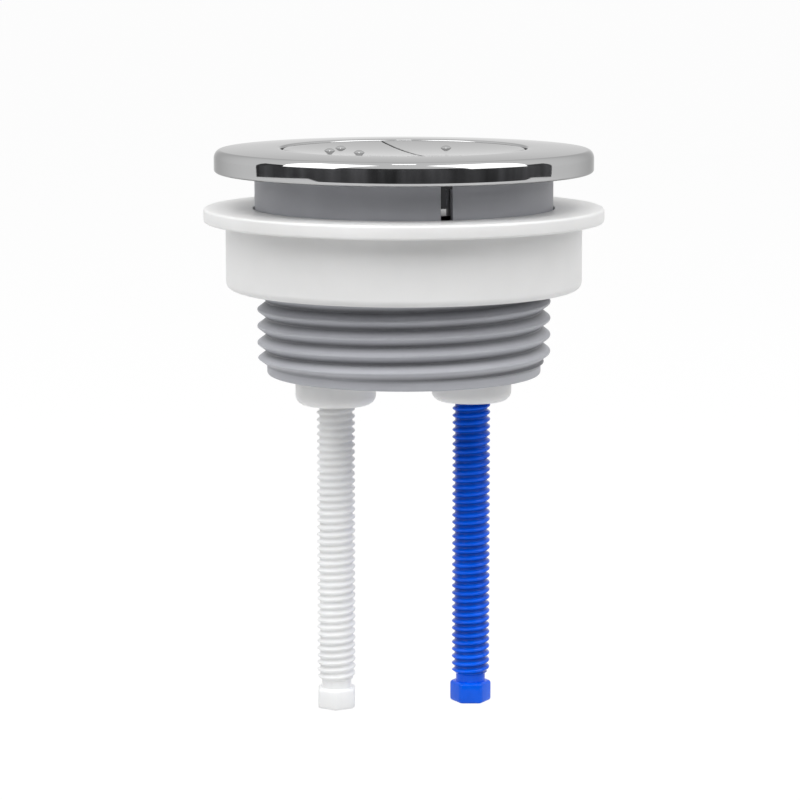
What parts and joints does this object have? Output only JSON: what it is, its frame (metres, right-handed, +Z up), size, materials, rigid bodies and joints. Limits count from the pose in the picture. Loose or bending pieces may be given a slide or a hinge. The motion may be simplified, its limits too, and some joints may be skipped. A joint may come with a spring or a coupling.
{
  "type": "push button cistern actuator",
  "caption": "Round dual flush push button for a cistern lid: bezel and split push plate over a threaded body with a clamp nut and two threaded rods.",
  "frame": {"origin": "on the actuator's axis, at the underside of the bezel where it rests on the cistern lid", "axes": "+Z up along the axis through the bezel, X through both rods with the full flush at -X and the half flush at +X"},
  "size_m": [0.0792, 0.0792, 0.1124],
  "materials": {
    "chrome_plate": "bright plated",
    "grey_body": "satin moulded",
    "white_nut": "satin moulded",
    "white_plunger": "smooth moulded",
    "natural_rod": "natural, slightly translucent",
    "blue_rod": "glossy",
    "spring_steel": "drawn wire"
  },
  "bodies": {
    "housing": {"bezel_ring": "chrome_plate", "threaded_body": "grey_body", "full_flush_spring": "spring_steel", "half_flush_spring": "spring_steel"},
    "nut": {"clamp_nut": "white_nut"},
    "full_flush_push": {"full_flush_button": "chrome_plate", "full_flush_plunger": "white_plunger"},
    "full_flush_stem": {"full_flush_rod": "natural_rod"},
    "half_flush_push": {"half_flush_button": "chrome_plate", "half_flush_plunger": "white_plunger"},
    "half_flush_stem": {"half_flush_rod": "blue_rod"}
  },
  "joints": [
    {"name": "nut_travel", "type": "slide", "parent": "housing", "child": "nut", "axis": [0, 0, -1], "range_m": [0, 0.014]},
    {"name": "full_flush_press", "type": "slide", "parent": "housing", "child": "full_flush_push", "axis": [0, 0, -1], "range_m": [0, 0.006], "stiffness_N_per_m": 500, "springref_m": -0.004, "deforming": ["full_flush_spring"]},
    {"name": "full_flush_rod_set", "type": "slide", "parent": "full_flush_push", "child": "full_flush_stem", "axis": [0, 0, -1], "range_m": [-0.012, 0.02]},
    {"name": "half_flush_press", "type": "slide", "parent": "housing", "child": "half_flush_push", "axis": [0, 0, -1], "range_m": [0, 0.006], "stiffness_N_per_m": 500, "springref_m": -0.004, "deforming": ["half_flush_spring"]},
    {"name": "half_flush_rod_set", "type": "slide", "parent": "half_flush_push", "child": "half_flush_stem", "axis": [0, 0, -1], "range_m": [-0.012, 0.02]}
  ]
}
